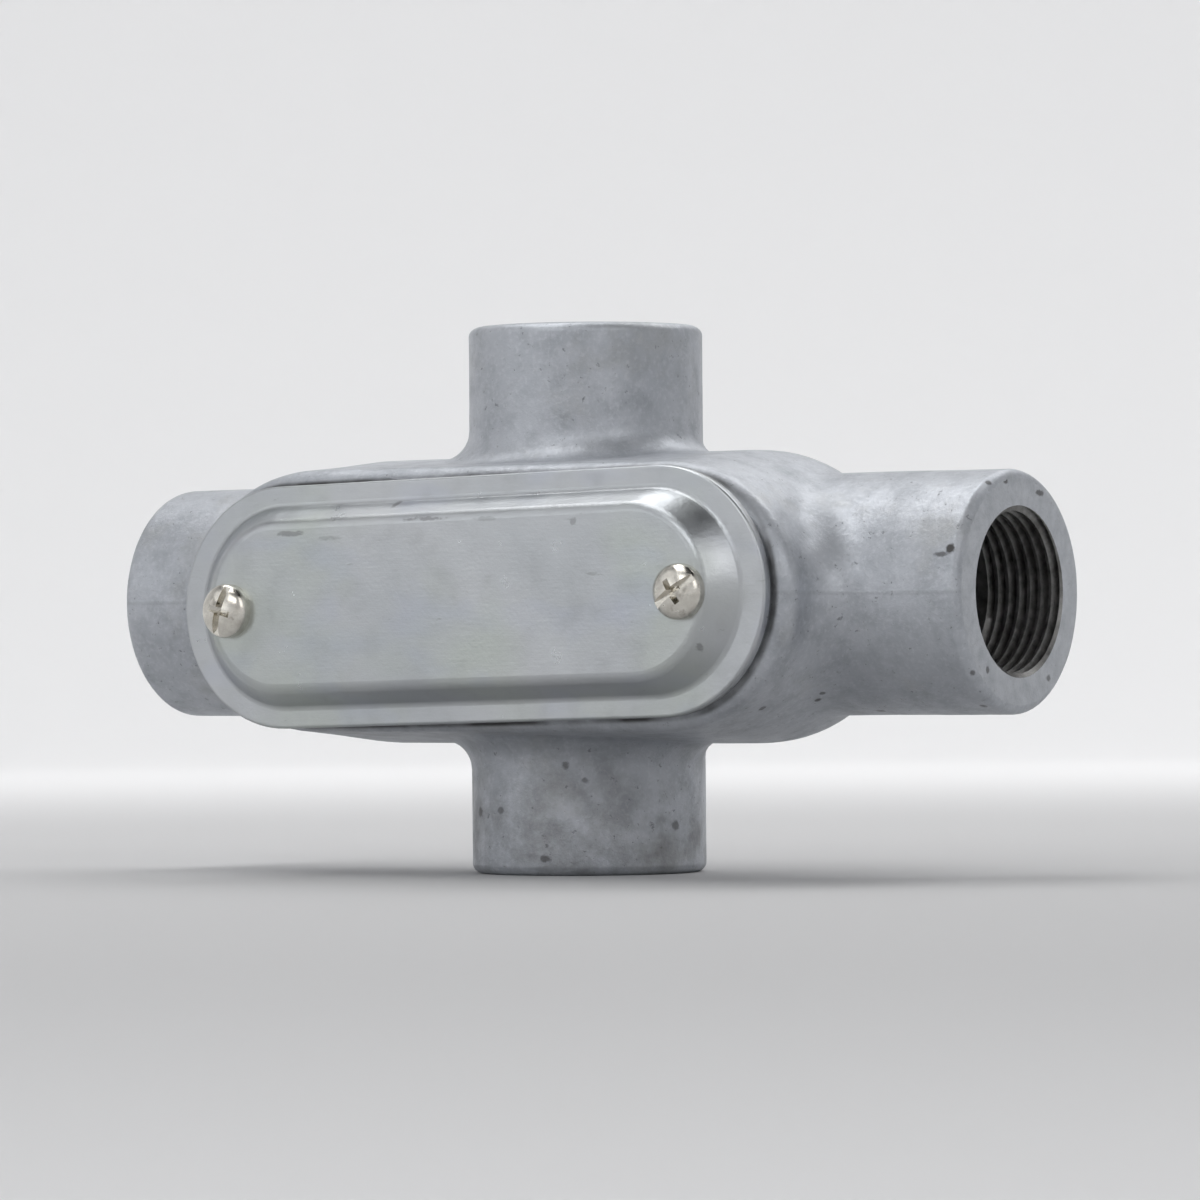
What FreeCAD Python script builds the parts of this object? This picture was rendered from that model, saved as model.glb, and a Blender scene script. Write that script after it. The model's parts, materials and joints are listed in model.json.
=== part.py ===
import FreeCAD, Part
import math
import os

# Four-way (X) conduit body, 3/4 in trade size, with a stamped cover held by
# two screws and two hidden wedge nuts. Millimetres, +Z up, cover faces -Y.
# The origin is the centre of the lower hub's end face.

V = FreeCAD.Vector
PI = math.pi

# ------------------------------------------------------------ dimensions
# hubs
RUN_HALF = 76.2          # run hub end faces, from the hub axes' crossing
HUB_UP = 41.3            # upper hub end face, from the crossing
HUB_DOWN = 41.8          # lower hub end face, from the crossing
R_RUN = 18.0             # run hub outer radius at its end face
R_RUN_ROOT = 18.2        # run hub outer radius at the body (casting draft)
R_VERT = 17.9            # upper and lower hub outer radius
HUB_EDGE = 1.5           # rounding of each hub's outer rim
# hub bores, 3/4-14 taper pipe thread (thread form itself is a fine detail)
R_THREAD = 11.84         # minor radius at the mouth
THREAD_LEN = 15.5
MOUTH_CHAMFER = 0.75
R_THROAT = 10.4          # integral bushing
THROAT_LIP = 2.4         # rounding of the bushing towards the chamber
# body outer form: section sizes at several depths (y, half length, half height, straight half)
BODY_Z = -0.2           # body mid height below the hub axes
FRONT_Y = -29.3          # casting shoulder outside the cover's seat
SEAT_Y = -30.2           # seat that the cover lies on
R_BACK = 22.0            # rounded back
C_BACK = 31.7
SECTIONS = (             # y, half height, half length, half of the straight run
    (-29.3, 19.6, 55.5, 31.7),
    (-20.0, 20.5, 54.8, 31.7),
    (-10.0, 21.5, 54.2, 31.7),
    (-4.0, 21.93, 53.8, 31.7),
    (0.0, 22.0, 53.7, 31.7),
)
FRONT_ROUND = 3.0
RUN_BLEND = 8.0
VERT_BLEND = 4.6
SEAM_Y = 0.35             # front and back of the body meet this far behind the hub axes
# chamber
OPEN_HALF = 49.6
OPEN_HH = 15.7
R_IN = 18.2
# seat ridge
SEAT_HALF = 51.6
SEAT_HH = 17.3
# cover
COVER_SKEW_DEG = 1.35
COVER_X = -0.3
COVER_Z = -0.35
COVER_HALF = 52.7
COVER_HH = 18.36
SHEET = 1.5
PANEL_RISE = 4.2
PANEL_BASE_HALF = 48.75
PANEL_BASE_HH = 15.2
PANEL_TOP_HALF = 44.7
PANEL_TOP_HH = 12.7
PANEL_FOOT_R = 1.0
PANEL_CREST_R = 1.9
COVER_EDGE_R = 0.45
# screws
SCREW_X = 41.05
SCREW_Z = -0.3
HEAD_R = 4.1
HEAD_H = 2.9
HEAD_RIM = 0.9
SHANK_R = 2.05
SHANK_LEN = 21.5
HOLE_R = 2.35
SLOT_W = 1.15
SLOT_D = 1.25
CROSS_W = 1.0
CROSS_LEN = 4.6
CROSS_D = 1.7
# wedge nuts
NUT_TOP_Y = -28.6
NUT_THICK = 7.0
NUT_HALF_W = 5.5
NUT_IN = 5.2
NUT_CLEAR = 0.35
NUT_HOLE_R = 2.1

AX = HUB_DOWN            # height of the hub axes
SEAM_DEG = 140.0         # turned surfaces' seams, kept off the body's own seams


def obround(y, half, hh, straight=None, cz=0.0, cx=0.0):
    """Closed wire in a plane of constant y: straight sides and elliptical ends."""
    c = half - hh if straight is None else straight
    a = half - c
    def P(x, z):
        return V(cx + x, y, cz + z)
    edges = []
    if abs(a - hh) < 1e-6:
        r = Part.Arc(P(c, -hh), P(c + a, 0), P(c, hh)).toShape()
        l = Part.Arc(P(-c, hh), P(-c - a, 0), P(-c, -hh)).toShape()
    else:
        e = Part.Ellipse(P(c + a, 0), P(c, hh), P(c, 0))
        r = Part.ArcOfEllipse(e, -PI / 2, PI / 2).toShape()
        e = Part.Ellipse(P(-c - a, 0), P(-c, -hh), P(-c, 0))
        l = Part.ArcOfEllipse(e, -PI / 2, PI / 2).toShape()
    top = Part.LineSegment(P(c, hh), P(-c, hh)).toShape()
    bot = Part.LineSegment(P(-c, -hh), P(c, -hh)).toShape()
    return Part.Wire([r, top, l, bot])


def prism(y0, y1, half, hh, straight=None, cz=0.0):
    return Part.Face(obround(y0, half, hh, straight, cz)).extrude(V(0, y1 - y0, 0))


def clean(s):
    s = s.removeSplitter()
    if s.ShapeType == "Compound" and len(s.Solids) == 1:
        s = s.Solids[0]
    return s


# ------------------------------------------------------------ body casting
def half_capsule(r, c, cz):
    """Cylinder along X with ball ends, the half behind the seam between front and back.

    Turned about its long axis, so that its two poles lie inside the hubs.
    """
    def P(x, y):
        return V(x, y, cz)
    k = math.sqrt(0.5) * r
    edges = [Part.LineSegment(P(-c - r, 0), P(c + r, 0)).toShape(),
             Part.Arc(P(c + r, 0), P(c + k, k), P(c, r)).toShape(),
             Part.LineSegment(P(c, r), P(-c, r)).toShape(),
             Part.Arc(P(-c, r), P(-c - k, k), P(-c - r, 0)).toShape()]
    f = Part.Face(Part.Wire(edges))
    f.rotate(V(0, 0, cz), V(1, 0, 0), -90)
    s = f.revolve(V(0, 0, cz), V(1, 0, 0), 180)
    s.translate(V(0, SEAM_Y, 0))
    return s


def body_outer():
    cz = AX + BODY_Z
    # the widest section lies on the seam, and one mirrored past it makes the loft
    # tangent to the rounded back
    sections = SECTIONS[:-1] + ((SEAM_Y,) + SECTIONS[-1][1:],
                                (2 * SEAM_Y - SECTIONS[-2][0],) + SECTIONS[-2][1:])
    wires = [obround(y, half, hh, st, cz) for (y, hh, half, st) in sections]
    front = Part.makeLoft(wires, True, False)
    front = front.common(Part.makeBox(140, 60 + SEAM_Y, 80, V(-70, -60, cz - 40)))
    back = half_capsule(R_BACK, C_BACK, cz)
    s = clean(front.fuse(back))
    return s


def hub(axis, length, r_end, r_root):
    """Solid hub with a rounded rim, from the crossing out to its end face."""
    e = HUB_EDGE
    k = e * math.sqrt(0.5)
    pts = [V(0, 0, 0), V(r_root, 0, 0), V(r_end, 0, length - e)]
    arc = Part.Arc(V(r_end, 0, length - e), V(r_end - e + k, 0, length - e + k), V(r_end - e, 0, length))
    edges = [Part.LineSegment(pts[0], pts[1]).toShape(), Part.LineSegment(pts[1], pts[2]).toShape(),
             arc.toShape(), Part.LineSegment(V(r_end - e, 0, length), V(0, 0, length)).toShape(),
             Part.LineSegment(V(0, 0, length), V(0, 0, 0)).toShape()]
    s = Part.Face(Part.Wire(edges)).revolve(V(0, 0, 0), V(0, 0, 1), 360)
    s.Placement = FreeCAD.Placement(V(0, 0, AX), FreeCAD.Rotation(V(0, 0, 1), axis))
    s.rotate(V(0, 0, AX), axis, SEAM_DEG)
    return s


def bore(axis, length, root):
    """Mouth chamfer, thread bore and bushing throat, from the end face in to `root`."""
    m = MOUTH_CHAMFER
    t = length - THREAD_LEN
    p = [V(0, 0, length + 1), V(R_THREAD + m, 0, length + 1), V(R_THREAD + m, 0, length),
         V(R_THREAD, 0, length - m), V(R_THREAD, 0, t + 0.5), V(R_THREAD - 0.5, 0, t),
         V(R_THROAT, 0, t), V(R_THROAT, 0, root), V(0, 0, root)]
    s = Part.Face(Part.makePolygon(p + p[:1])).revolve(V(0, 0, 0), V(0, 0, 1), 360)
    s.Placement = FreeCAD.Placement(V(0, 0, AX), FreeCAD.Rotation(V(0, 0, 1), axis))
    s.rotate(V(0, 0, AX), axis, SEAM_DEG)
    return s


def main_body():
    s = body_outer()
    # round the front rim of the casting
    rim = [e for e in s.Edges if abs(e.BoundBox.YMin - FRONT_Y) < 1e-3 and abs(e.BoundBox.YMax - FRONT_Y) < 1e-3]
    s = s.makeFillet(FRONT_ROUND, rim)
    hubs = [hub(V(1, 0, 0), RUN_HALF, R_RUN, R_RUN_ROOT), hub(V(-1, 0, 0), RUN_HALF, R_RUN, R_RUN_ROOT),
            hub(V(0, 0, 1), HUB_UP, R_VERT, R_VERT), hub(V(0, 0, -1), HUB_DOWN, R_VERT, R_VERT)]
    s = clean(s.fuse(hubs))
    run = junction(s, "x", R_RUN - 0.01, R_RUN_ROOT + 0.01, 40.0, 58.0)
    s = s.makeFillet(RUN_BLEND, run)
    vert = junction(s, "z", R_VERT - 0.01, R_VERT + 0.01, 12.0, 24.0)
    s = s.makeFillet(VERT_BLEND, vert)
    # seat ridge that the cover lies on, proud of the rounded shoulder
    cz = AX + BODY_Z
    s = clean(s.fuse(prism(SEAT_Y, FRONT_Y + 2.0, SEAT_HALF, SEAT_HH, None, cz)))
    # chamber: open at the front, rounded at the back
    inner = Part.makeLoft([obround(SEAT_Y - 1.0, OPEN_HALF, OPEN_HH, None, cz),
                           obround(SEAM_Y, C_BACK + R_IN, R_IN, None, cz)], True, True)
    s = s.cut(inner)
    s = s.cut(half_capsule(R_IN, C_BACK, cz))
    # bores
    for axis, length, root in ((V(1, 0, 0), RUN_HALF, 30.0), (V(-1, 0, 0), RUN_HALF, 30.0),
                               (V(0, 0, 1), HUB_UP, 5.0), (V(0, 0, -1), HUB_DOWN, 5.0)):
        s = s.cut(bore(axis, length, root))
    s = clean(s)
    lips = (junction(s, "x", R_THROAT - 0.01, R_THROAT + 0.01, 30.0, 56.0)
            + junction(s, "z", R_THROAT - 0.01, R_THROAT + 0.01, 10.0, 22.0))
    s = s.makeFillet(THROAT_LIP, lips)
    return s


def junction(s, along, r0, r1, near_end, far_end):
    """Edges where a hub meets the body: all points at the hub's radius."""
    out = []
    for e in s.Edges:
        try:
            f0, f1 = e.FirstParameter, e.LastParameter
            pts = [e.valueAt(f0 + (f1 - f0) * i / 8.0) for i in range(9)]
        except Exception:
            continue
        ok = e.Length > 1e-3
        for p in pts:
            x, z = p.x, p.z - AX
            u, v = (x, z) if along == "x" else (z, x)
            if not (r0 <= math.hypot(p.y, v) <= r1 and near_end < abs(u) < far_end):
                ok = False
                break
        if ok:
            out.append(e)
    return out


# ------------------------------------------------------------ cover
def in_place(s):
    """Cover pieces are drawn square and centred, then set at the cover's seat."""
    s = s.copy()
    s.rotate(V(0, 0, 0), V(0, -1, 0), COVER_SKEW_DEG)
    s.translate(V(COVER_X, 0, AX + COVER_Z))
    return s


def loop_at(s, y, half_lo, half_hi):
    """Edges of a closed loop lying in the plane y, whose half length is in range."""
    out = []
    for e in s.Edges:
        bb = e.BoundBox
        if abs(bb.YMin - y) < 1e-3 and abs(bb.YMax - y) < 1e-3:
            reach = max(abs(bb.XMin), abs(bb.XMax))
            high = max(abs(bb.ZMin), abs(bb.ZMax))
            if half_lo[0] < reach < half_hi[0] and half_lo[1] < high < half_hi[1]:
                out.append(e)
    return out


def cover():
    back = SEAT_Y
    front = SEAT_Y - SHEET
    top = front - PANEL_RISE
    plate = prism(front, back, COVER_HALF, COVER_HH)
    panel = Part.makeLoft([obround(front + 0.4, PANEL_BASE_HALF, PANEL_BASE_HH),
                           obround(front, PANEL_BASE_HALF, PANEL_BASE_HH)], True, True)
    slope = Part.makeLoft([obround(front, PANEL_BASE_HALF, PANEL_BASE_HH),
                           obround(top, PANEL_TOP_HALF, PANEL_TOP_HH)], True, True)
    s = clean(plate.fuse([panel, slope]))
    crest = loop_at(s, top, (10, 10), (PANEL_TOP_HALF + 0.1, PANEL_TOP_HH + 0.1))
    s = s.makeFillet(PANEL_CREST_R, crest)
    foot = loop_at(s, front, (10, 10), (PANEL_BASE_HALF + 0.1, PANEL_BASE_HH + 0.1))
    s = s.makeFillet(PANEL_FOOT_R, foot)
    rim = loop_at(s, front, (10, PANEL_BASE_HH + 1), (COVER_HALF + 0.1, COVER_HH + 0.1))
    s = s.makeFillet(COVER_EDGE_R, rim)
    # underside of the stamping: the same form, one sheet thickness in
    run_s = (PANEL_BASE_HH - PANEL_TOP_HH) / PANEL_RISE
    run_e = (PANEL_BASE_HALF - PANEL_TOP_HALF) / PANEL_RISE
    off_s = SHEET * math.sqrt(1 + run_s ** 2)
    off_e = SHEET * math.sqrt(1 + run_e ** 2)
    def at(y):
        d = y - front
        return (PANEL_BASE_HALF + d * run_e - off_e, PANEL_BASE_HH + d * run_s - off_s)
    h0, z0 = at(back)
    h1, z1 = at(top + SHEET)
    hollow = Part.makeLoft([obround(back, h0, z0), obround(top + SHEET, h1, z1)], True, True)
    crest = loop_at(hollow, top + SHEET, (10, 10), (h1 + 0.1, z1 + 0.1))
    hollow = hollow.makeFillet(0.7, crest)
    s = s.cut(hollow)
    foot = loop_at(s, back, (10, 10), (h0 + 0.1, z0 + 0.1))
    s = s.makeFillet(1.1, foot)
    for x in (-SCREW_X, SCREW_X):
        s = s.cut(Part.makeCylinder(HOLE_R, 10, V(x, top - 2, SCREW_Z), V(0, 1, 0)))
    return clean(s)


# ------------------------------------------------------------ cover screw
def screw(x, slot_deg):
    """Pan head with a slot and a cross recess, plain shank at thread size."""
    seat = SEAT_Y - SHEET - PANEL_RISE
    b = HEAD_H - HEAD_RIM
    el = Part.Ellipse(V(HEAD_R, 0, HEAD_RIM), V(0, 0, HEAD_RIM + b), V(0, 0, HEAD_RIM))
    dome = Part.ArcOfEllipse(el, 0, PI / 2).toShape()
    def seg(p, q):
        return Part.LineSegment(V(*p), V(*q)).toShape()
    c = 0.8
    prof = [seg((0, 0, HEAD_H), (0, 0, -SHANK_LEN)), seg((0, 0, -SHANK_LEN), (SHANK_R - c, 0, -SHANK_LEN)),
            seg((SHANK_R - c, 0, -SHANK_LEN), (SHANK_R, 0, -SHANK_LEN + c)),
            seg((SHANK_R, 0, -SHANK_LEN + c), (SHANK_R, 0, 0)), seg((SHANK_R, 0, 0), (HEAD_R, 0, 0)),
            seg((HEAD_R, 0, 0), (HEAD_R, 0, HEAD_RIM)), dome]
    s = Part.Face(Part.Wire(Part.__sortEdges__(prof))).revolve(V(0, 0, 0), V(0, 0, 1), 360)
    slot = Part.makeBox(2 * HEAD_R + 2, SLOT_W, 4, V(-HEAD_R - 1, -SLOT_W / 2, HEAD_H - SLOT_D))
    # tapered cross recess
    def wing(w, l, w1, l1, d):
        def rect(ww, ll, z):
            return Part.makePolygon([V(-ll / 2, -ww / 2, z), V(ll / 2, -ww / 2, z), V(ll / 2, ww / 2, z),
                                     V(-ll / 2, ww / 2, z), V(-ll / 2, -ww / 2, z)])
        return Part.makeLoft([rect(w, l, HEAD_H + 0.05), rect(w1, l1, HEAD_H - d)], True, True)
    w1 = wing(CROSS_W, CROSS_LEN, CROSS_W * 0.6, 1.2, CROSS_D)
    w2 = w1.copy()
    w2.rotate(V(0, 0, 0), V(0, 0, 1), 90)
    s = clean(s.cut([slot, w1, w2]))
    s.rotate(V(0, 0, 0), V(0, 0, 1), slot_deg)
    # stand the screw with its head towards -Y
    s.rotate(V(0, 0, 0), V(1, 0, 0), 90)
    s.translate(V(x, seat, SCREW_Z))
    return s


# ------------------------------------------------------------ wedge nut
def nut(side):
    """Block on the screw, its outer end curved to the chamber's end wall."""
    y0, y1 = NUT_TOP_Y, NUT_TOP_Y + NUT_THICK
    c = OPEN_HALF - OPEN_HH
    r0 = OPEN_HH - NUT_CLEAR - 0.45
    block = Part.makeBox(40, NUT_THICK, 2 * NUT_HALF_W, V(SCREW_X - NUT_IN, y0, SCREW_Z - NUT_HALF_W))
    cone = Part.makeCone(r0 - 0.9, r0, NUT_THICK, V(c, y0, 0), V(0, 1, 0))
    s = block.common(cone)
    s = s.makeFillet(0.5, [e for e in s.Edges if abs(e.BoundBox.YMin - y1) < 1e-3 or
                           (abs(e.BoundBox.YMax - y0) < 1e-3)])
    s = s.cut(Part.makeCylinder(NUT_HOLE_R, 20, V(SCREW_X, y0 - 5, SCREW_Z), V(0, 1, 0)))
    s = clean(s)
    if side < 0:
        s = s.mirror(V(0, 0, 0), V(1, 0, 0))
        s = clean(s)
    return s


NODES = {}


def build():
    NODES["body"] = main_body()
    NODES["cover"] = in_place(cover())
    NODES["screw_left"] = in_place(screw(-SCREW_X, 71.0))
    NODES["screw_right"] = in_place(screw(SCREW_X, 31.0))
    NODES["wedge_nut_left"] = in_place(nut(-1))
    NODES["wedge_nut_right"] = in_place(nut(1))
    return NODES


if __name__ == "__main__":
    os.makedirs("parts", exist_ok=True)
    for name, s in build().items():
        if s.ShapeType != "Solid":
            s = s.Solids[0] if len(s.Solids) == 1 else s
        print(name, s.ShapeType, "valid", s.isValid(), "faces", len(s.Faces), "cm3", round(s.Volume / 1000, 2))
        s.exportStep("parts/%s.step" % name)
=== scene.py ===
import json
import math

import bmesh
import bpy
import numpy as np
from mathutils import Matrix, Vector, noise

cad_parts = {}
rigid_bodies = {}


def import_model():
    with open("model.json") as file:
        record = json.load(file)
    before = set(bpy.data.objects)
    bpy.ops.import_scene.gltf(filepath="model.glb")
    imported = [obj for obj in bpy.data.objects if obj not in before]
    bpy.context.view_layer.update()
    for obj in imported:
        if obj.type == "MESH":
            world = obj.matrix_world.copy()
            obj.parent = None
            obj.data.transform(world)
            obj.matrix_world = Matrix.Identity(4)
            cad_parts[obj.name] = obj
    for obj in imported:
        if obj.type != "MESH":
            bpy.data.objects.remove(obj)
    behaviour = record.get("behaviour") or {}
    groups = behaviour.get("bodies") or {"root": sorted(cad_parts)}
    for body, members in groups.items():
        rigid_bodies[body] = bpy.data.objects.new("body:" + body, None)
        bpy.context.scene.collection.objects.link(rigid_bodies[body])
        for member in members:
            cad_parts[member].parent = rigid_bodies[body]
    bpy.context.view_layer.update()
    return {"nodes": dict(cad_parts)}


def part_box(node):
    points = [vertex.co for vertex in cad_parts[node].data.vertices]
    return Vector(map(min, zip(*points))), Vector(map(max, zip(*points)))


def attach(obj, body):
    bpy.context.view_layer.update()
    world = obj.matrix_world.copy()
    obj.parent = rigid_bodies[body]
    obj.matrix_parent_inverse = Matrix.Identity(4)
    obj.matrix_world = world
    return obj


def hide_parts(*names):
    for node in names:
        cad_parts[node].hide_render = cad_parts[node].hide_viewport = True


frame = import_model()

# Looks for a cast four-way conduit body: machined thread in each hub, sand-cast
# skin, zinc-plated stamped cover, nickel-plated screws. Metres, +Z up.


MM = 0.001
lo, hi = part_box("body")
RUN = hi.x                       # run hub end faces
TOP = hi.z                       # upper hub end face
AX = 41.8 * MM                   # hub axes' height
R_BORE = 11.84 * MM
PITCH = 25.4 / 14 * MM
HUBS = {                         # direction, distance from the crossing
    "right": (Vector((1, 0, 0)), RUN), "left": (Vector((-1, 0, 0)), -lo.x),
    "top": (Vector((0, 0, 1)), TOP - AX), "bottom": (Vector((0, 0, -1)), AX - lo.z),
}
CROSS = Vector((0, 0, AX))


# ---------------------------------------------------------------- camera
def make_camera():
    a, e, roll = (math.radians(v) for v in (34.2802, -0.5283, 0.4652))
    d = Vector((math.sin(a) * math.cos(e), -math.cos(a) * math.cos(e), math.sin(e)))
    right = Vector((math.cos(a), math.sin(a), 0))
    up = right.cross(-d)
    c, s = math.cos(roll), math.sin(roll)
    X, Y = c * right - s * up, s * right + c * up
    m = Matrix((X, Y, d)).transposed().to_4x4()
    m.translation = CROSS + 0.94033 * d
    cam = bpy.data.objects.new("camera", bpy.data.cameras.new("camera"))
    cam.data.sensor_width = 36.0
    cam.data.lens = 184.83
    cam.data.shift_x, cam.data.shift_y = 0.01038, -0.00178
    cam.data.clip_start, cam.data.clip_end = 0.01, 20.0
    cam.matrix_world = m
    bpy.context.scene.collection.objects.link(cam)
    bpy.context.scene.camera = cam


# ---------------------------------------------------------------- node help
class Nodes:
    def __init__(self, name):
        self.m = bpy.data.materials.new(name)
        self.m.use_nodes = True
        self.t = self.m.node_tree
        self.n = self.t.nodes
        self.l = self.t.links
        self.n.clear()
        self.out = self.n.new("ShaderNodeOutputMaterial")
        self.b = self.n.new("ShaderNodeBsdfPrincipled")
        self.l.new(self.b.outputs[0], self.out.inputs[0])
        self.co = self.n.new("ShaderNodeTexCoord").outputs["Object"]

    def link(self, a, b):
        self.l.new(a, b)

    def noise(self, scale, detail=4.0, rough=0.55, co=None, lac=2.0):
        n = self.n.new("ShaderNodeTexNoise")
        n.inputs["Scale"].default_value = scale
        n.inputs["Detail"].default_value = detail
        n.inputs["Roughness"].default_value = rough
        n.inputs["Lacunarity"].default_value = lac
        self.link(co or self.co, n.inputs["Vector"])
        return n.outputs["Fac"]

    def stretch(self, sx, sy, sz):
        n = self.n.new("ShaderNodeMapping")
        n.inputs["Scale"].default_value = (sx, sy, sz)
        self.link(self.co, n.inputs["Vector"])
        return n.outputs[0]

    def ramp(self, fac, stops):
        n = self.n.new("ShaderNodeValToRGB")
        e = n.color_ramp.elements
        while len(e) < len(stops):
            e.new(0.5)
        for el, (p, c) in zip(e, stops):
            el.position = p
            el.color = (c, c, c, 1) if isinstance(c, (int, float)) else (*c, 1)
        self.link(fac, n.inputs[0])
        return n.outputs[0]

    def rng(self, v, a, b, c, d, smooth=False):
        n = self.n.new("ShaderNodeMapRange")
        n.interpolation_type = "SMOOTHSTEP" if smooth else "LINEAR"
        for i, x in enumerate((a, b, c, d)):
            n.inputs[i + 1].default_value = x
        self.link(v, n.inputs[0])
        return n.outputs[0]

    def math(self, op, a, b=None, clamp=False):
        n = self.n.new("ShaderNodeMath")
        n.operation = op
        n.use_clamp = clamp
        for i, v in enumerate((a, b)):
            if v is None:
                continue
            if isinstance(v, (int, float)):
                n.inputs[i].default_value = v
            else:
                self.link(v, n.inputs[i])
        return n.outputs[0]

    def mix(self, fac, a, b, mode="MIX"):
        n = self.n.new("ShaderNodeMix")
        n.data_type = "RGBA"
        n.blend_type = mode
        for key, v in ((0, fac), (6, a), (7, b)):
            if isinstance(v, (int, float)):
                n.inputs[key].default_value = v
            elif isinstance(v, tuple):
                n.inputs[key].default_value = (*v, 1)
            else:
                self.link(v, n.inputs[key])
        return n.outputs[2]

    def bump(self, height, distance, strength=1.0, after=None):
        n = self.n.new("ShaderNodeBump")
        n.inputs["Strength"].default_value = strength
        n.inputs["Distance"].default_value = distance
        self.link(height, n.inputs["Height"])
        if after is not None:
            self.link(after, n.inputs["Normal"])
        return n.outputs[0]

    def axis(self, i):
        n = self.n.new("ShaderNodeSeparateXYZ")
        self.link(self.co, n.inputs[0])
        return n.outputs[i]

    def cover_edge(self):
        """Distance in the cover's plane from its outline, 52.7 by 18.36 mm half sizes."""
        m = self.n.new("ShaderNodeMapping")
        m.vector_type = "POINT"
        a = math.radians(1.35)
        m.inputs["Rotation"].default_value = (0.0, a, 0.0)
        cx, cz = -0.3 * MM, 41.45 * MM
        # the mapping turns about the origin first, so the turned centre is taken off
        m.inputs["Location"].default_value = (-(cx * math.cos(a) + cz * math.sin(a)), 0.0,
                                              -(-cx * math.sin(a) + cz * math.cos(a)))
        self.link(self.co, m.inputs["Vector"])
        s = self.n.new("ShaderNodeSeparateXYZ")
        self.link(m.outputs[0], s.inputs[0])
        x = self.math("MAXIMUM", self.math("SUBTRACT", self.math("ABSOLUTE", s.outputs[0]), 34.34 * MM), 0.0)
        z = s.outputs[2]
        r = self.math("SQRT", self.math("ADD", self.math("MULTIPLY", x, x), self.math("MULTIPLY", z, z)))
        return self.math("SUBTRACT", r, 18.36 * MM)

    def near(self, point, radii, wobble=None, amount=0.0):
        """1 at a point, falling to 0 at its radii, with a ragged edge."""
        m = self.n.new("ShaderNodeMapping")
        m.vector_type = "POINT"
        s = tuple(1.0 / (r * MM) for r in radii)
        m.inputs["Scale"].default_value = s
        m.inputs["Location"].default_value = tuple(-p * MM * k for p, k in zip(point, s))
        self.link(self.co, m.inputs["Vector"])
        v = self.n.new("ShaderNodeVectorMath")
        v.operation = "LENGTH"
        self.link(m.outputs[0], v.inputs[0])
        d = v.outputs["Value"]
        if wobble is not None:
            d = self.math("ADD", d, self.math("MULTIPLY", self.math("SUBTRACT", wobble, 0.5), amount))
        return self.rng(d, 0.45, 1.0, 1.0, 0.0, True)


# dark specks, nicks and stains on the casting: point (mm), radii (mm), strength
CAST_MARKS = [
    ((74.5, -16.9, 47.9), (0.9, 0.9, 1.1), 0.95), ((73.2, -17.3, 47.2), (1.6, 0.8, 0.5), 0.7),
    ((75.7, -7.8, 57.6), (0.7, 0.7, 0.5), 0.75), ((76.1, 11.3, 36.4), (0.6, 0.7, 0.7), 0.6),
    ((75.8, -13.0, 30.1), (0.5, 0.6, 0.6), 0.7), ((73.9, -6.8, 25.1), (0.8, 0.8, 0.6), 0.7),
    ((48.1, -10.8, 26.1), (0.7, 0.7, 0.6), 0.8), ((49.6, -11.9, 27.2), (0.6, 0.6, 0.6), 0.7),
    ((55.2, -4.8, 24.4), (1.0, 0.8, 0.5), 0.6), ((45.3, -21.4, 25.1), (1.0, 0.8, 0.6), 0.7),
    ((-9.7, -15.0, 9.4), (1.1, 1.1, 0.9), 0.65), ((-4.3, -17.4, 9.8), (0.9, 0.9, 0.7), 0.5),
    ((7.0, -16.5, 16.6), (0.7, 0.7, 0.9), 0.6), ((9.6, -15.1, 14.3), (0.7, 0.7, 0.6), 0.5),
    ((17.7, -2.9, 7.3), (0.8, 1.1, 0.9), 0.6), ((3.9, -17.5, 2.6), (1.2, 0.8, 0.7), 0.7),
]
FACE_MARKS = [
    ((76.2, -3.8, 57.9), (0.8, 0.8, 0.7), 0.8), ((76.2, 6.0, 56.3), (0.6, 1.5, 0.6), 0.75),
    ((76.2, 8.1, 29.2), (0.6, 0.9, 0.7), 0.65), ((76.2, -9.4, 30.4), (0.6, 0.6, 0.7), 0.7),
]

# scuffs on the cover: point (mm), radii (mm), strength
COVER_MARKS = [
    ((-29.5, -35.9, 51.7), (3.0, 2.0, 0.45), 0.60), ((-22.5, -35.9, 51.0), (2.4, 2.0, 0.4), 0.35),
    ((-4.5, -35.8, 53.5), (4.2, 2.0, 0.4), 0.65), ((-12.1, -32.7, 55.8), (0.7, 2.0, 0.5), 0.8),
    ((6.5, -35.8, 53.3), (3.0, 2.0, 0.4), 0.35), ((42.95, -34.7, 34.3), (0.55, 2.0, 0.75), 0.6),
    ((22.0, -35.8, 52.6), (0.6, 2.0, 0.6), 0.5),
]


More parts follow.
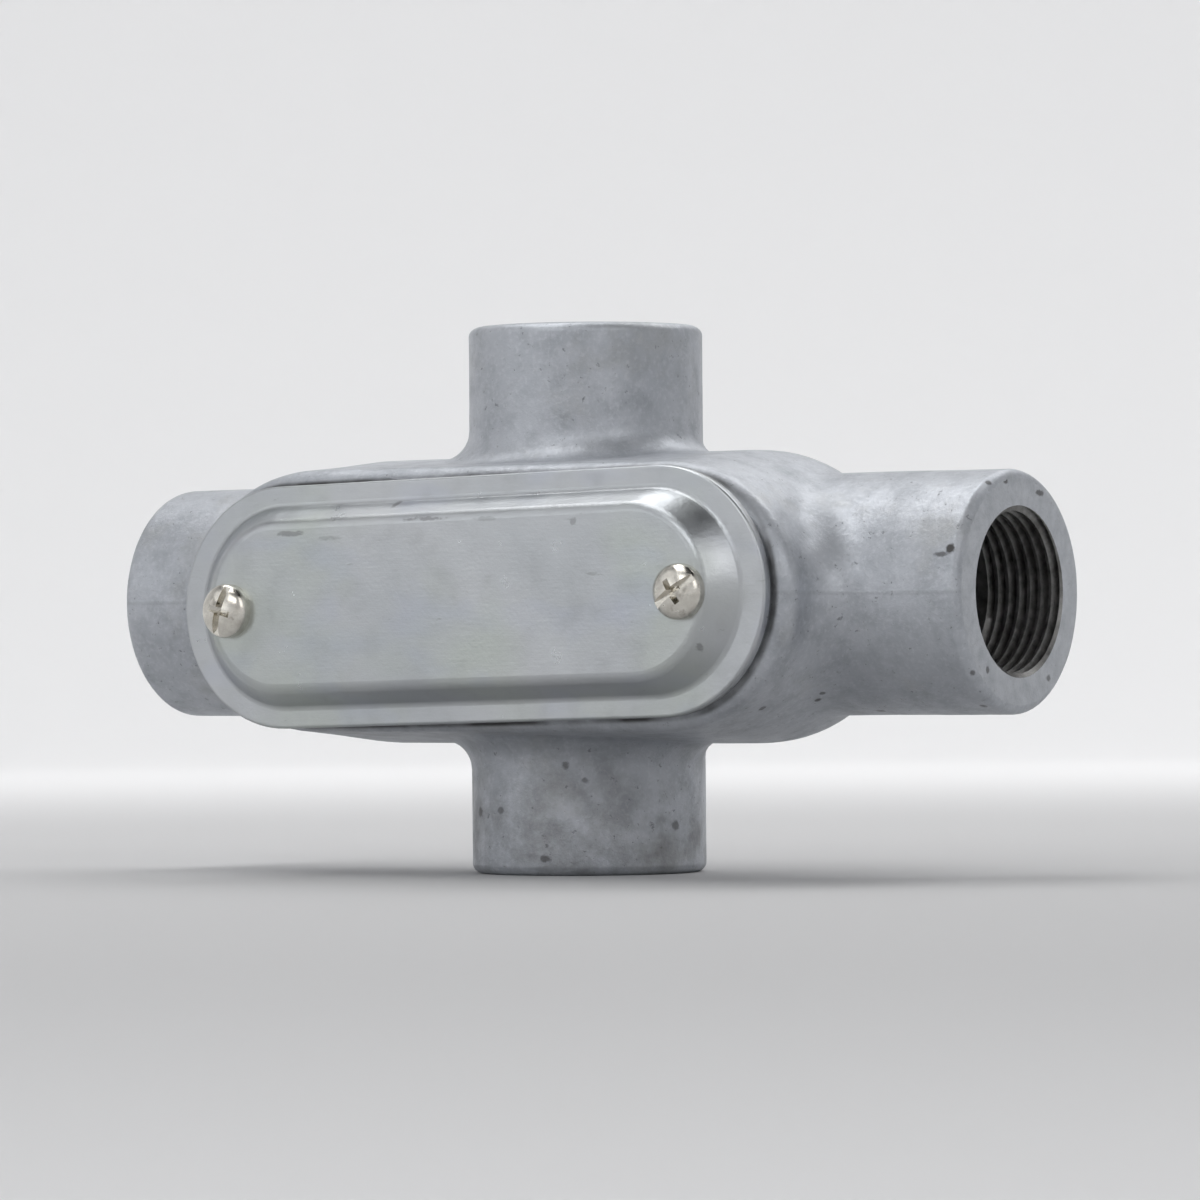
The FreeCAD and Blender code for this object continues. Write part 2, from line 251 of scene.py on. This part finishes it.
def casting_material():
    k = Nodes("cast_zinc_coat")
    big = k.noise(55, 3)
    mid = k.noise(260, 5, 0.6)
    fine = k.noise(1500, 4, 0.6)
    grit = k.noise(3600, 3, 0.6)
    col = k.ramp(big, [(0.30, (0.420, 0.442, 0.478)), (0.70, (0.500, 0.520, 0.555))])
    col = k.mix(k.rng(k.noise(120, 4, 0.6), 0.50, 0.72, 0.0, 0.30), col, (0.265, 0.282, 0.308))
    col = k.mix(k.rng(mid, 0.45, 0.74, 0.0, 0.45), col, (0.250, 0.264, 0.288))
    col = k.mix(k.rng(fine, 0.50, 0.72, 0.0, 0.34), col, (0.64, 0.66, 0.69))
    # dull patches, slightly yellow
    col = k.mix(k.rng(k.noise(70, 4, 0.6, lac=2.3), 0.56, 0.72, 0.0, 0.30), col, (0.34, 0.337, 0.310))
    pits = k.rng(k.noise(900, 3, 0.7), 0.63, 0.72, 0.0, 1.0, True)
    col = k.mix(k.math("MULTIPLY", pits, 0.55), col, (0.11, 0.113, 0.118))
    # casting parting line on the plane of the run hubs
    z = k.axis(2)
    off = k.math("ABSOLUTE", k.math("SUBTRACT", z, AX))
    line = k.rng(k.math("ADD", off, k.math("MULTIPLY", k.noise(180, 2), 0.0004)), 0.00025, 0.00065, 1.0, 0.0, True)
    col = k.mix(k.math("MULTIPLY", line, 0.13), col, (0.16, 0.164, 0.17))
    # painted shade low on the casting, darker towards the bottom in noisy patches
    low = k.rng(z, 0.004, 0.030, 1.0, 0.0, True)
    underside_shade = k.math("MULTIPLY", low, k.rng(k.noise(140, 5, 0.65), 0.42, 0.66, 0.0, 0.55))
    col = k.mix(underside_shade, col, (0.15, 0.148, 0.143))
    # dirt and painted shade in the joint round the cover
    edge = k.cover_edge()
    near = k.rng(k.math("ABSOLUTE", edge), 0.0002, 0.0009, 1.0, 0.0, True)
    near = k.math("MULTIPLY", near, k.rng(k.axis(1), -0.0286, -0.0276, 1.0, 0.0, True))
    near = k.math("MULTIPLY", near, k.rng(k.noise(60, 3, 0.6), 0.40, 0.60, 0.30, 0.95))
    col = k.mix(near, col, (0.03, 0.029, 0.027))
    wob = k.noise(900, 4, 0.7)
    for point, radii, amt in CAST_MARKS:
        col = k.mix(k.math("MULTIPLY", k.near(point, radii, wob, 1.3), amt), col, (0.055, 0.052, 0.05))
    k.link(col, k.b.inputs["Base Color"])
    k.b.inputs["Metallic"].default_value = 0.55
    k.link(k.rng(mid, 0.3, 0.75, 0.36, 0.52), k.b.inputs["Roughness"])
    h = k.math("ADD", k.math("MULTIPLY", fine, 0.6), k.math("MULTIPLY", grit, 0.28))
    h = k.math("SUBTRACT", h, k.math("MULTIPLY", pits, 0.35))
    b = k.bump(h, 0.00016, 0.6)
    b = k.bump(k.noise(330, 4, 0.6), 0.00028, 0.38, b)
    b = k.bump(line, 0.00005, 0.4, b)
    k.link(b, k.b.inputs["Normal"])
    return k.m


def faced_material():
    """Hub end faces and seat: turned or ground flat, then coated."""
    k = Nodes("faced_metal")
    n = k.noise(420, 5, 0.62)
    f = k.noise(2600, 3, 0.6)
    col = k.ramp(n, [(0.32, (0.40, 0.42, 0.45)), (0.70, (0.56, 0.58, 0.61))])
    col = k.mix(k.rng(f, 0.60, 0.75, 0.0, 0.4), col, (0.20, 0.20, 0.21))
    wob = k.noise(900, 4, 0.7)
    for point, radii, amt in FACE_MARKS:
        col = k.mix(k.math("MULTIPLY", k.near(point, radii, wob, 1.3), amt), col, (0.055, 0.052, 0.05))
    k.link(col, k.b.inputs["Base Color"])
    k.b.inputs["Metallic"].default_value = 0.8
    k.link(k.rng(n, 0.3, 0.7, 0.34, 0.50), k.b.inputs["Roughness"])
    k.link(k.bump(f, 0.0001, 0.5), k.b.inputs["Normal"])
    return k.m


def thread_material():
    k = Nodes("cut_thread")
    n = k.noise(700, 5, 0.62)
    col = k.ramp(n, [(0.30, (0.13, 0.128, 0.125)), (0.72, (0.30, 0.298, 0.29))])
    col = k.mix(k.rng(k.noise(200, 3), 0.5, 0.75, 0.0, 0.55), col, (0.07, 0.066, 0.06))
    k.link(col, k.b.inputs["Base Color"])
    k.b.inputs["Metallic"].default_value = 0.85
    k.link(k.rng(n, 0.3, 0.7, 0.30, 0.48), k.b.inputs["Roughness"])
    k.link(k.bump(k.noise(3000, 3), 0.00006, 0.5), k.b.inputs["Normal"])
    return k.m


def cover_material():
    k = Nodes("zinc_plate")
    big = k.noise(34, 3)
    mid = k.noise(190, 5, 0.6)
    fine = k.noise(1700, 3, 0.6)
    brush = k.noise(1.0, 4, 0.6, k.stretch(260, 900, 2600))
    col = k.ramp(big, [(0.30, (0.440, 0.462, 0.482)), (0.70, (0.515, 0.530, 0.545))])
    tint = k.rng(k.noise(46, 2), 0.50, 0.70, 0.0, 0.30)
    col = k.mix(tint, col, (0.465, 0.525, 0.415))
    tint = k.rng(k.noise(63, 2, 0.5, k.stretch(1.0, 1.0, 1.7)), 0.53, 0.72, 0.0, 0.28)
    col = k.mix(tint, col, (0.405, 0.440, 0.575))
    col = k.mix(k.rng(mid, 0.52, 0.76, 0.0, 0.30), col, (0.36, 0.37, 0.38))
    scuff = k.rng(k.noise(1.0, 5, 0.7, k.stretch(150, 400, 700)), 0.66, 0.72, 0.0, 0.35, True)
    col = k.mix(scuff, col, (0.22, 0.22, 0.215))
    wob = k.noise(1.0, 4, 0.7, k.stretch(420, 420, 900))
    for point, radii, amt in COVER_MARKS:
        col = k.mix(k.math("MULTIPLY", k.near(point, radii, wob, 3.2), amt * 0.75), col, (0.115, 0.110, 0.112))
    # dirt and painted shade along the lower edge, in the joint
    edge = k.cover_edge()
    joint_dirt_and_shade = k.math("MULTIPLY", k.rng(edge, -0.0009, -0.0001, 0.0, 1.0, True), k.rng(k.axis(1), -0.0311, -0.0304, 0.0, 1.0, True))
    col = k.mix(k.math("MULTIPLY", joint_dirt_and_shade, k.rng(k.noise(90, 4, 0.7), 0.45, 0.62, 0.0, 0.75)), col, (0.05, 0.047, 0.044))
    k.link(col, k.b.inputs["Base Color"])
    k.b.inputs["Metallic"].default_value = 0.92
    r = k.rng(mid, 0.3, 0.75, 0.27, 0.41)
    k.link(k.math("ADD", r, k.math("MULTIPLY", scuff, 0.2)), k.b.inputs["Roughness"])
    b = k.bump(fine, 0.00005, 0.5)
    b = k.bump(brush, 0.00003, 0.45, b)
    b = k.bump(k.noise(120, 3), 0.0004, 0.22, b)
    k.link(b, k.b.inputs["Normal"])
    return k.m


def screw_material():
    k = Nodes("nickel_plate")
    n = k.noise(900, 4, 0.6)
    col = k.ramp(n, [(0.3, (0.62, 0.59, 0.53)), (0.7, (0.80, 0.775, 0.71))])
    col = k.mix(k.rng(k.noise(420, 4, 0.7), 0.58, 0.72, 0.0, 0.6), col, (0.20, 0.18, 0.15))
    k.link(col, k.b.inputs["Base Color"])
    k.b.inputs["Metallic"].default_value = 1.0
    k.link(k.rng(n, 0.3, 0.7, 0.14, 0.28), k.b.inputs["Roughness"])
    k.link(k.bump(k.noise(2200, 3), 0.00004, 0.5), k.b.inputs["Normal"])
    return k.m


def nut_material():
    k = Nodes("dull_zinc")
    n = k.noise(600, 5, 0.6)
    col = k.ramp(n, [(0.3, (0.34, 0.345, 0.35)), (0.7, (0.52, 0.525, 0.52))])
    k.link(col, k.b.inputs["Base Color"])
    k.b.inputs["Metallic"].default_value = 0.85
    k.link(k.rng(n, 0.3, 0.7, 0.42, 0.60), k.b.inputs["Roughness"])
    k.link(k.bump(k.noise(1800, 4), 0.0001, 0.6), k.b.inputs["Normal"])
    return k.m


# ---------------------------------------------------------------- meshes
def helix_plug(name, origin, axis, start, end, pitch, profile, radius, cols=96):
    """Closed solid whose skin follows a helix.

    profile: [(share of the pitch, 0..1 how far out)], radius(t, q) gives the
    skin's radius at distance t along the axis for that share q.
    """
    axis = axis.normalized()
    u = axis.orthogonal().normalized()
    v = axis.cross(u)
    n = len(profile)
    turns = int(math.ceil((end - start) / pitch)) + 1
    K = turns * n
    bm = bmesh.new()
    grid = {}

    def at(k, j):
        if j == cols:
            return at(k + n, 0)
        if (k, j) not in grid:
            share, q = profile[k % n]
            t = start + (k // n + share + j / cols - 1.0) * pitch
            a = 2 * math.pi * j / cols
            r = radius(t, q)
            grid[(k, j)] = bm.verts.new(origin + axis * t + (u * math.cos(a) + v * math.sin(a)) * r)
        return grid[(k, j)]

    for k in range(K):
        for j in range(cols):
            bm.faces.new((at(k, j), at(k, j + 1), at(k + 1, j + 1), at(k + 1, j)))

    def cap(k0):
        ring = [at(k0, j) for j in range(cols)] + [at(k0 + n - i, 0) for i in range(n)]
        c = sum((w.co for w in ring), Vector()) / len(ring)
        mid = bm.verts.new(c)
        for i in range(len(ring)):
            bm.faces.new((ring[i], ring[(i + 1) % len(ring)], mid))

    cap(0)
    cap(K)
    bmesh.ops.recalc_face_normals(bm, faces=bm.faces)
    me = bpy.data.meshes.new(name)
    bm.to_mesh(me)
    bm.free()
    o = bpy.data.objects.new(name, me)
    bpy.context.scene.collection.objects.link(o)
    return o


def copy_of(node, name):
    o = bpy.data.objects.new(name, frame["nodes"][node].data.copy())
    bpy.context.scene.collection.objects.link(o)
    bm = bmesh.new()
    bm.from_mesh(o.data)
    bmesh.ops.remove_doubles(bm, verts=bm.verts, dist=2e-6)
    bmesh.ops.dissolve_degenerate(bm, edges=bm.edges, dist=1e-7)
    bmesh.ops.recalc_face_normals(bm, faces=bm.faces)
    bm.to_mesh(o.data)
    bm.free()
    if "custom_normal" in o.data.attributes:
        o.data.attributes.remove(o.data.attributes["custom_normal"])
    o.data.materials.clear()
    return o


def cut(target, tools, how="DIFFERENCE"):
    for t in tools:
        before = len(target.data.polygons)
        m = target.modifiers.new("cut", "BOOLEAN")
        m.operation, m.object, m.solver = how, t, "MANIFOLD"
        dep = bpy.context.evaluated_depsgraph_get()
        me = bpy.data.meshes.new_from_object(target.evaluated_get(dep))
        if len(me.polygons) <= before:
            m.solver = "EXACT"
            dep = bpy.context.evaluated_depsgraph_get()
            me = bpy.data.meshes.new_from_object(target.evaluated_get(dep))
        target.modifiers.remove(m)
        target.data = me
        me.materials.clear()              # the boolean leaves an empty slot
        print("cut", t.name, before, "->", len(me.polygons))
    for t in tools:
        bpy.data.objects.remove(t)


def open_edges(o):
    bm = bmesh.new()
    bm.from_mesh(o.data)
    n = sum(1 for e in bm.edges if len(e.link_faces) != 2)
    bm.free()
    return n


def shade(o, degrees=32):
    o.data.shade_smooth()
    o.data.set_sharp_from_angle(angle=math.radians(degrees))


def hub_thread(name, direction, end):
    """Taper thread cutter: crest on the bore at the mouth, roots 1 in 32 closer with depth."""
    def radius(t, q):
        depth = end - t                       # from the end face, inwards
        root = R_BORE + 1.30 * MM - depth / 32.0
        low = R_BORE - 0.30 * MM
        r = low + (root - low) * q
        r = min(r, 12.52 * MM + max(depth, 0.0) * 1.6)   # mouth chamfer
        fade = min(1.0, max(0.0, (13.6 * MM - depth) / (1.8 * MM)))
        return low + (r - low) * fade
    prof = [(0.04, 0.0), (0.47, 1.0), (0.53, 1.0), (0.96, 0.0)]
    return helix_plug("cut_" + name, CROSS, direction, end - 14.2 * MM, end + 1.2 * MM, PITCH, prof, radius)


def casting():
    o = copy_of("body", "casting_body")
    print("casting: open edges before", open_edges(o))
    cut(o, [hub_thread(n, d, e) for n, (d, e) in HUBS.items()])
    bm = bmesh.new()
    bm.from_mesh(o.data)
    bmesh.ops.remove_doubles(bm, verts=bm.verts, dist=1e-8)
    bmesh.ops.triangulate(bm, faces=bm.faces)
    # which surface each face belongs to
    def kind(f):
        c, n = f.calc_center_median(), f.normal
        for d, end in HUBS.values():
            r = c - CROSS
            t = r.dot(d)
            rad = (r - d * t).length
            if t > end - 1e-5 and n.dot(d) > 0.9:
                return 1
            if t > end - 15.6 * MM and rad < 13.4 * MM:
                return 2
        if n.y < -0.9 and c.y < -30.1 * MM:
            return 1
        return 0
    for f in bm.faces:
        f.material_index = kind(f)
    print("casting: triangulated, bad edges", sum(1 for e in bm.edges if len(e.link_faces) != 2))
    # refine the cast skin so that it can carry the casting's unevenness
    for _ in range(5):
        long = [e for e in bm.edges if e.calc_length() > 1.7 * MM and all(f.material_index == 0 for f in e.link_faces)]
        if not long or len(bm.faces) > 150000:
            break
        bmesh.ops.subdivide_edges(bm, edges=long, cuts=1)
        bmesh.ops.triangulate(bm, faces=bm.faces)
    for e in [e for e in bm.edges if len(e.link_faces) > 2]:
        seen = {}
        for f in e.link_faces:
            seen.setdefault(frozenset(w.index for w in f.verts), []).append(f)
        flat = [f for fs in seen.values() if len(fs) > 1 for f in fs]
        print("edge of", len(e.link_faces), "faces, areas", [f.calc_area() * 1e6 for f in e.link_faces], "folded", len(flat))
        bmesh.ops.delete(bm, geom=flat, context="FACES")
    bmesh.ops.delete(bm, geom=[e for e in bm.edges if not e.link_faces], context="EDGES")
    bmesh.ops.delete(bm, geom=[w for w in bm.verts if not w.link_faces], context="VERTS")
    bm.normal_update()
    moved = {}
    for w in bm.verts:
        if any(f.material_index for f in w.link_faces):
            continue
        if max((f.normal - w.normal).length for f in w.link_faces) > 0.45:
            continue
        p = w.co
        a = noise.noise(p * 95.0) * 0.5 + 0.5
        b = noise.noise(p * 330.0 + Vector((7.1, 3.3, 1.7))) * 0.5 + 0.5
        moved[w] = w.normal * -(0.085 * a + 0.045 * b) * MM
    for w, v in moved.items():
        w.co += v
    bm.to_mesh(o.data)
    for e in bm.edges:
        if len(e.link_faces) != 2:
            print("open edge", len(e.link_faces), [tuple(round(c / MM, 3) for c in w.co) for w in e.verts])
    bm.free()
    print("casting: open edges after", open_edges(o), "triangles", len(o.data.polygons))
    for m in (casting_material(), faced_material(), thread_material()):
        o.data.materials.append(m)
    shade(o)
    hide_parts("body")
    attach(o, "casting")
    return o


def screw(node, mat):
    """The screw with its No. 8-32 thread rolled on the shank."""
    lo_, hi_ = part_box(node)
    o = copy_of(node, node + "_threaded")
    long = hi_.y - lo_.y
    tip = Vector(((lo_.x + hi_.x) / 2, hi_.y, (lo_.z + hi_.z) / 2))

    def radius(t, q):
        if t > long - 3.7 * MM:
            return 6.0 * MM                   # the head and the plain neck are left whole
        r = (1.64 + 0.56 * q) * MM
        return min(r, 1.35 * MM + max(t, 0.0))
    prof = [(0.06, 1.0), (0.42, 0.0), (0.58, 0.0), (0.94, 1.0)]
    rod = helix_plug("rod_" + node, tip, Vector((0, -1, 0)), -1.5 * MM, long + 1.5 * MM, 0.79375 * MM, prof, radius, 48)
    cut(o, [rod], "INTERSECT")
    print(node, "open edges", open_edges(o), "faces", len(o.data.polygons))
    o.data.materials.append(mat)
    shade(o)
    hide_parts(node)
    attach(o, node)


def dress(node, mat):
    o = frame["nodes"][node]
    if not o.data.materials:
        o.data.materials.append(mat)
    for i in range(len(o.data.materials)):
        o.data.materials[i] = mat


# ---------------------------------------------------------------- stage
def stage():
    k = Nodes("pale_paper")
    v = k.n.new("ShaderNodeVectorMath")
    v.operation = "LENGTH"
    k.link(k.co, v.inputs[0])
    k.link(k.ramp(k.rng(v.outputs["Value"], 0.25, 0.9, 0.0, 1.0, True), [(0.0, (0.57, 0.57, 0.575)), (1.0, (0.93, 0.93, 0.935))]),
           k.b.inputs["Base Color"])
    k.b.inputs["Roughness"].default_value = 0.9
    k.b.inputs["Specular IOR Level"].default_value = 0.15
    bm = bmesh.new()
    # a floor that sweeps up behind, in a half turn round the object
    prof = [(0.0, 0.0), (1.0, 0.0)]
    for i in range(1, 13):
        a = math.pi / 2 * i / 12
        prof.append((1.0 + 0.6 * math.sin(a), 0.6 - 0.6 * math.cos(a)))
    prof.append((1.6, 2.2))
    rings = []
    for r, z in prof[1:]:
        rings.append([bm.verts.new((r * math.cos(2 * math.pi * j / 96), r * math.sin(2 * math.pi * j / 96), z - 0.00002))
                      for j in range(96)])
    c = bm.verts.new((0, 0, -0.00002))
    for j in range(96):
        bm.faces.new((c, rings[0][j], rings[0][(j + 1) % 96]))
    for a, b in zip(rings, rings[1:]):
        for j in range(96):
            x = math.cos(2 * math.pi * (j + 0.5) / 96)
            y = math.sin(2 * math.pi * (j + 0.5) / 96)
            bm.faces.new((a[j], b[j], b[(j + 1) % 96], a[(j + 1) % 96]))
    bmesh.ops.recalc_face_normals(bm, faces=bm.faces)
    me = bpy.data.meshes.new("floor")
    bm.to_mesh(me)
    bm.free()
    me.materials.append(k.m)
    o = bpy.data.objects.new("floor", me)
    bpy.context.scene.collection.objects.link(o)
    me.shade_smooth()


def area(name, at, look, size, power, color=(1, 1, 1)):
    l = bpy.data.lights.new(name, "AREA")
    l.shape = "RECTANGLE"
    l.size, l.size_y = size
    l.energy = power
    l.color = color
    o = bpy.data.objects.new(name, l)
    o.location = at
    o.rotation_euler = (Vector(look) - Vector(at)).to_track_quat("-Z", "Y").to_euler()
    bpy.context.scene.collection.objects.link(o)


def lights():
    w = bpy.data.worlds.new("world")
    bpy.context.scene.world = w
    w.use_nodes = True
    w.node_tree.nodes["Background"].inputs[0].default_value = (0.93, 0.96, 1.0, 1)
    w.node_tree.nodes["Background"].inputs[1].default_value = 0.03
    look = (0, 0, 0.04)
    area("top", (-0.30, -0.1, 1.0), look, (1.2, 0.5), 5.0)
    area("top_back", (0.1, 0.7, 1.0), look, (1.0, 0.6), 3.9)
    # lights the sweep behind and faces away from the object
    area("backdrop", (-0.15, 0.45, 1.15), (-0.9, 1.35, 0.35), (1.4, 0.5), 4.6)
    area("front_left", (-0.9, -0.9, 0.75), look, (0.8, 0.8), 0.95, (0.97, 0.985, 1.0))
    area("front_right", (1.0, -0.6, 0.7), look, (0.6, 0.8), 1.7)
    area("front_low", (-0.6, -1.15, 0.25), look, (0.7, 0.4), 0.55, (0.97, 0.985, 1.0))
    area("front", (0.1, -1.25, 0.8), look, (0.8, 0.5), 2.3, (0.98, 0.99, 1.0))
    s = bpy.context.scene
    s.view_settings.view_transform = "Standard"
    s.view_settings.look = "None"


make_camera()
stage()
lights()
casting()
dress("cover", cover_material())
sm = screw_material()
screw("screw_left", sm)
screw("screw_right", sm)
nm = nut_material()
dress("wedge_nut_left", nm)
dress("wedge_nut_right", nm)

for o in bpy.data.objects:
    if o.type == "MESH" and not o.hide_render and (not len(o.data.materials) or None in list(o.data.materials)):
        raise RuntimeError("empty material slot on " + o.name)

bpy.context.view_layer.update()
